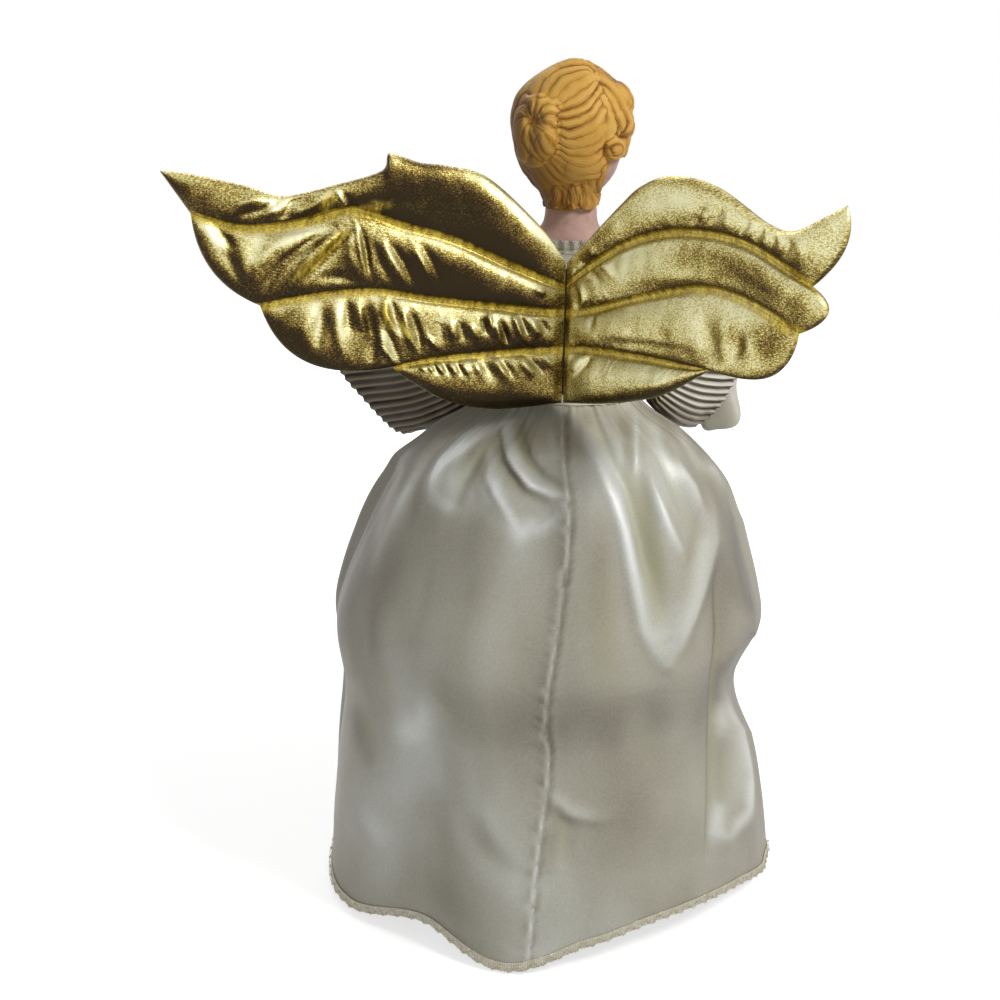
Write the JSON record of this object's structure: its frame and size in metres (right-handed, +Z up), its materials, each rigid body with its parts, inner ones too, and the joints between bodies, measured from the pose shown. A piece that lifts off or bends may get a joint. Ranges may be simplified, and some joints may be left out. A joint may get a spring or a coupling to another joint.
{
  "type": "angel tree topper",
  "caption": "Angel tree topper with quilted cloth wings, pleated bell sleeves, a glazed-cloth skirt and a sculpted bisque head on a hollow stand cone.",
  "frame": {"origin": "centre of the open base of the stand cone, where the tree's leader shoot goes in", "axes": "+Z up, the face towards -Y, the quilted side of the wings towards +Y, the figure's left hand towards +X"},
  "size_m": [0.2553, 0.2244, 0.3579],
  "materials": {
    "cone_plastic": "moulded satin",
    "stiff_net": "stiffened net",
    "ivory_satin": "satin sheen",
    "metallic_lace": "metallic thread",
    "white_foam": "bead foam",
    "birch": "bare",
    "painted_bisque": "matte, painted hair",
    "skin_bisque": "matte",
    "felt": "felt",
    "gold_lame": "metallic knit",
    "pleated_lame": "pleated metallic cloth",
    "wadding": "polyester fibre",
    "armature_wire": "drawn"
  },
  "bodies": {
    "figure": {"tree_cone": "cone_plastic", "petticoat": "stiff_net", "skirt": "ivory_satin", "skirt_hem_edging": "metallic_lace", "waistband": "ivory_satin", "torso_core": "white_foam", "shoulder_wire": "armature_wire", "neck_dowel": "birch", "bisque_head": "painted_bisque", "bodice": "ivory_satin", "neckline_ruffle": "metallic_lace", "wing_mount_pad": "felt", "wing_seam_tape": "felt"},
    "wing_left": {"wing_left_back_cover": "gold_lame", "wing_left_front_cover": "gold_lame", "wing_left_wadding": "wadding"},
    "wing_right": {"wing_right_back_cover": "gold_lame", "wing_right_front_cover": "gold_lame", "wing_right_wadding": "wadding"},
    "arm_left": {"arm_wire_left": "armature_wire", "arm_padding_left": "wadding", "undersleeve_left": "ivory_satin", "pleated_sleeve_left": "pleated_lame", "hand_left": "skin_bisque"},
    "arm_right": {"arm_wire_right": "armature_wire", "arm_padding_right": "wadding", "undersleeve_right": "ivory_satin", "pleated_sleeve_right": "pleated_lame", "hand_right": "skin_bisque"}
  },
  "joints": [
    {"name": "wing_left_fold", "type": "hinge", "parent": "figure", "child": "wing_left", "pos_m": [0, 0.0304, 0.251], "axis": [0, 0, 1], "range_deg": [-9, 50]},
    {"name": "wing_right_fold", "type": "hinge", "parent": "figure", "child": "wing_right", "pos_m": [0, 0.0304, 0.251], "axis": [0, 0, -1], "range_deg": [-38, 20]},
    {"name": "arm_left_raise", "type": "hinge", "parent": "figure", "child": "arm_left", "pos_m": [0.036, -0.002, 0.265], "axis": [-0.7193, -0.6947, 0], "range_deg": [-4, 30]},
    {"name": "arm_right_raise", "type": "hinge", "parent": "figure", "child": "arm_right", "pos_m": [-0.036, -0.002, 0.265], "axis": [-0.8988, 0.4384, 0], "range_deg": [-8, 26]}
  ]
}
